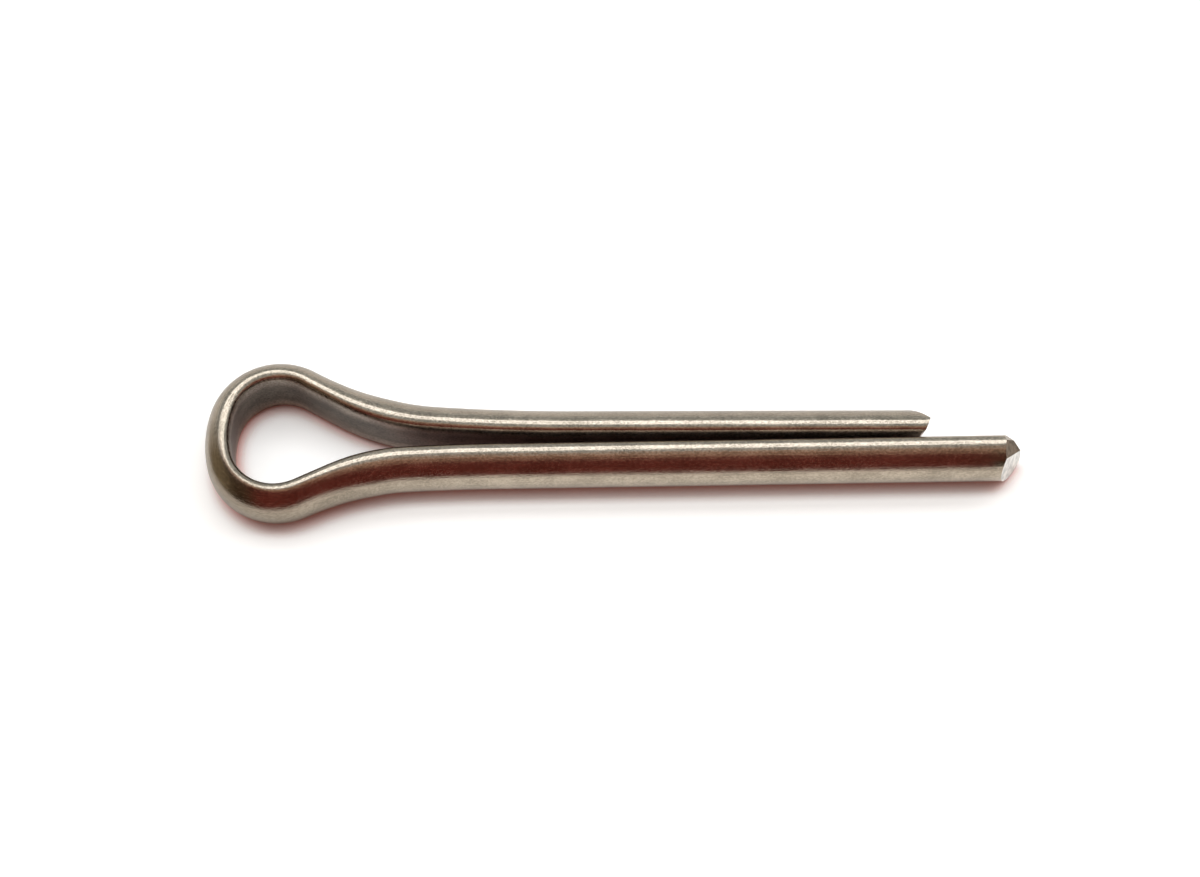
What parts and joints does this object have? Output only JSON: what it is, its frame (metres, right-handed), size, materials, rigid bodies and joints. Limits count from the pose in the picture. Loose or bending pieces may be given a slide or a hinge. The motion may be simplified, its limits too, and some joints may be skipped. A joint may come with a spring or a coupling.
{
  "type": "cotter pin",
  "caption": "Extended-prong cotter pin of half-round wire, folded flat to flat into a teardrop eye and two legs of unequal length with sheared ends.",
  "frame": {"origin": "on the axis of the shank, where the long leg starts to run straight", "axes": "+X along the shank toward the tips, +Y across the legs toward the short leg, +Z square to the plane of the eye"},
  "size_m": [0.0409, 0.0084, 0.0034],
  "materials": {
    "steel": "satin, drawn wire"
  },
  "bodies": {
    "root": {"cotter_pin": "steel"}
  },
  "joints": []
}
